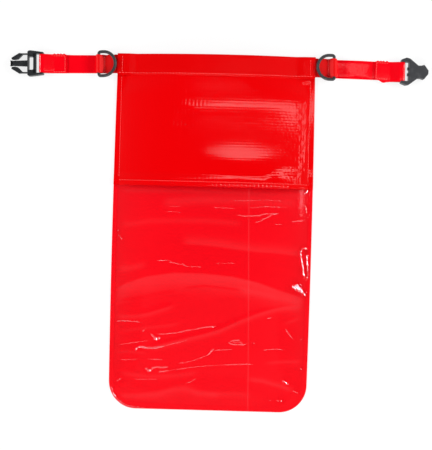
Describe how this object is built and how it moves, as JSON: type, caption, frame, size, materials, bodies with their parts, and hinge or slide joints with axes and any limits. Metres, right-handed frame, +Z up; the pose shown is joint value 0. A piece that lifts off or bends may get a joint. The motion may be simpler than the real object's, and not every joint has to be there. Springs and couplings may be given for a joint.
{
  "type": "waterproof pouch",
  "caption": "Flat roll-top waterproof pouch in red coated cloth with a clear window, webbing straps, D-rings and a side-release buckle.",
  "frame": {"origin": "middle of the pouch's flat underside, where it lies on its back", "axes": "+X along the mouth towards the socket half of the buckle, +Y from the foot to the mouth, +Z up out of the window"},
  "size_m": [0.4609, 0.3974, 0.0124],
  "materials": {
    "red_cloth": "satin",
    "clear_film": "gloss",
    "red_webbing": "satin",
    "white_strip": "satin",
    "dark_plastic": "satin"
  },
  "bodies": {
    "pouch": {"back_panel": "red_cloth", "front_panel": "red_cloth", "window_panel": "clear_film", "lip_stiffener": "white_strip", "left_strap": "red_webbing", "right_strap": "red_webbing", "left_ring_loop": "red_webbing", "right_ring_loop": "red_webbing"},
    "left_ring": {"left_d_ring": "dark_plastic"},
    "right_ring": {"right_d_ring": "dark_plastic"},
    "pronged_half": {"male_buckle": "dark_plastic"},
    "socket_half": {"female_buckle": "dark_plastic"}
  },
  "joints": [
    {"name": "left_ring_swing", "type": "hinge", "parent": "pouch", "child": "left_ring", "pos_m": [-0.12969, 0.18325, 0.00475], "axis": [0.0314, -0.9995, 0], "range_deg": [0, 174]},
    {"name": "right_ring_swing", "type": "hinge", "parent": "pouch", "child": "right_ring", "pos_m": [0.12968, 0.18648, 0.00475], "axis": [-0.0279, 0.9996, 0], "range_deg": [0, 174]},
    {"name": "pronged_half_swing", "type": "hinge", "parent": "pouch", "child": "pronged_half", "pos_m": [-0.19298, 0.18199, 0.0033], "axis": [0.0227, -0.9997, 0], "range_deg": [-120, 120]},
    {"name": "socket_half_swing", "type": "hinge", "parent": "pouch", "child": "socket_half", "pos_m": [0.20529, 0.18416, 0.0036], "axis": [0.014, 0.9999, 0], "range_deg": [-120, 120]}
  ]
}
